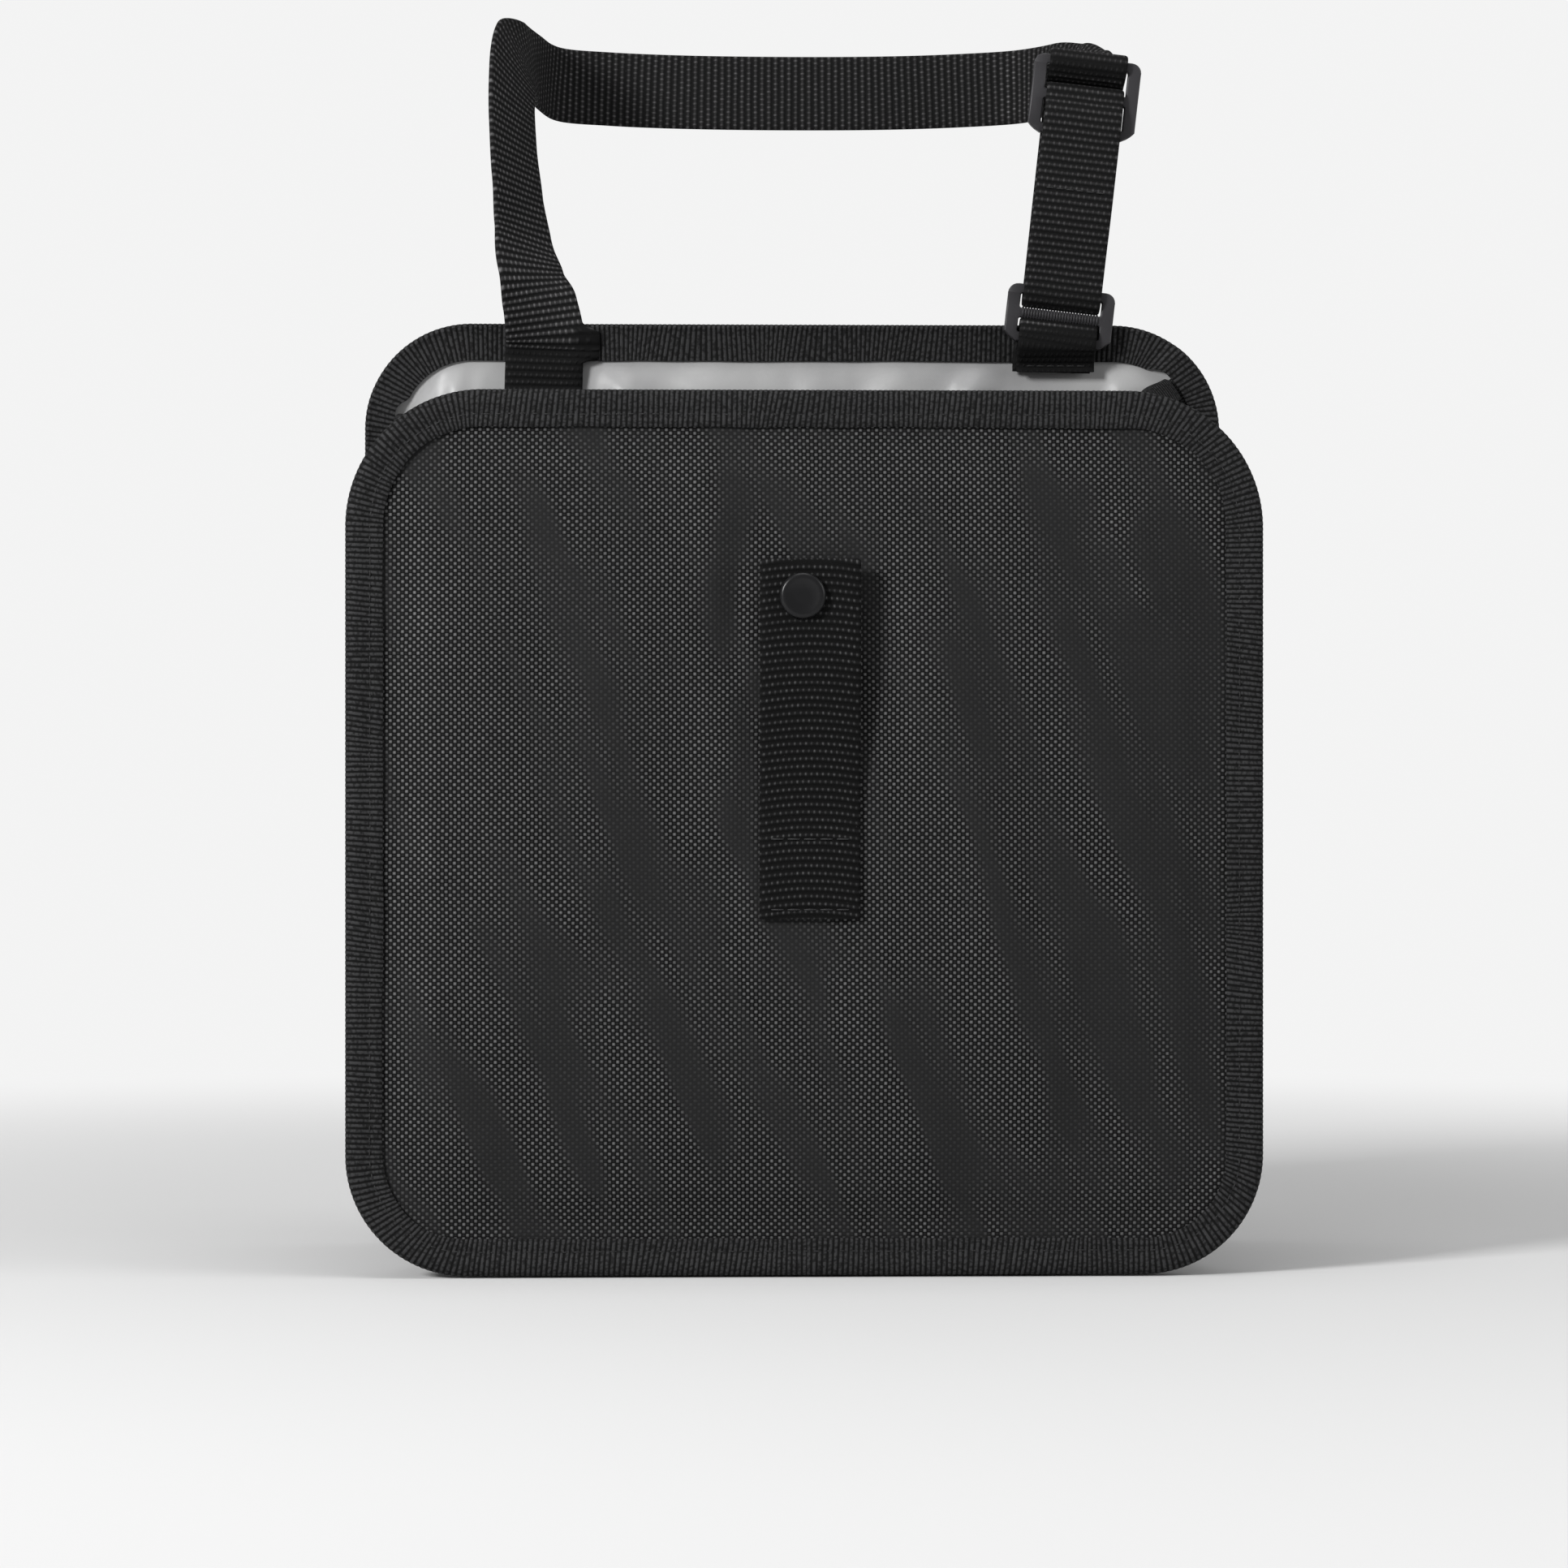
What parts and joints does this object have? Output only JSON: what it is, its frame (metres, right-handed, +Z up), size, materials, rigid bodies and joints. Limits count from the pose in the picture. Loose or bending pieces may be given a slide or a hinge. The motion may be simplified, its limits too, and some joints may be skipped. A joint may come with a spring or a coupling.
{
  "type": "hanging car storage bin",
  "caption": "Soft black fabric storage bin, open at the top, hung by an adjustable webbing loop.",
  "frame": {"origin": "centre of the back panel's flat rear face", "axes": "+Z up as it hangs, +Y out of the rear face towards what the bin hangs against, +X to the right seen from the front"},
  "size_m": [0.275, 0.213, 0.4006],
  "materials": {
    "cloth": "black coated plain-weave polyester, slight sheen on the raised threads",
    "lining": "light grey coated waterproof lining, satin",
    "tape": "black ribbed binding tape, matte",
    "webbing": "black polypropylene webbing, plain weave",
    "buckle": "dark grey moulded acetal, eased edges",
    "snap_black": "black semi-gloss snap cap",
    "snap_metal": "plated snap metal, hidden behind the strap",
    "thread": "black bonded polyester sewing thread"
  },
  "bodies": {
    "root": {"front_panel": "cloth", "back_panel": "cloth", "side_gusset": "cloth", "front_lining": "lining", "back_lining": "lining", "gusset_lining": "lining", "front_binding": "tape", "back_binding": "tape", "left_rim_binding": "tape", "right_rim_binding": "tape", "hanging_strap": "webbing", "ring_tab": "webbing", "snap_strap": "webbing", "strap_slider": "buckle", "strap_ring": "buckle", "snap_cap": "snap_black", "snap_socket": "snap_metal", "snap_stud": "snap_metal", "snap_post_back": "snap_metal", "anchor_stitch": "thread", "tab_stitch": "thread", "slider_stitch": "thread", "snap_stitch_upper": "thread", "snap_stitch_lower": "thread"}
  },
  "joints": []
}
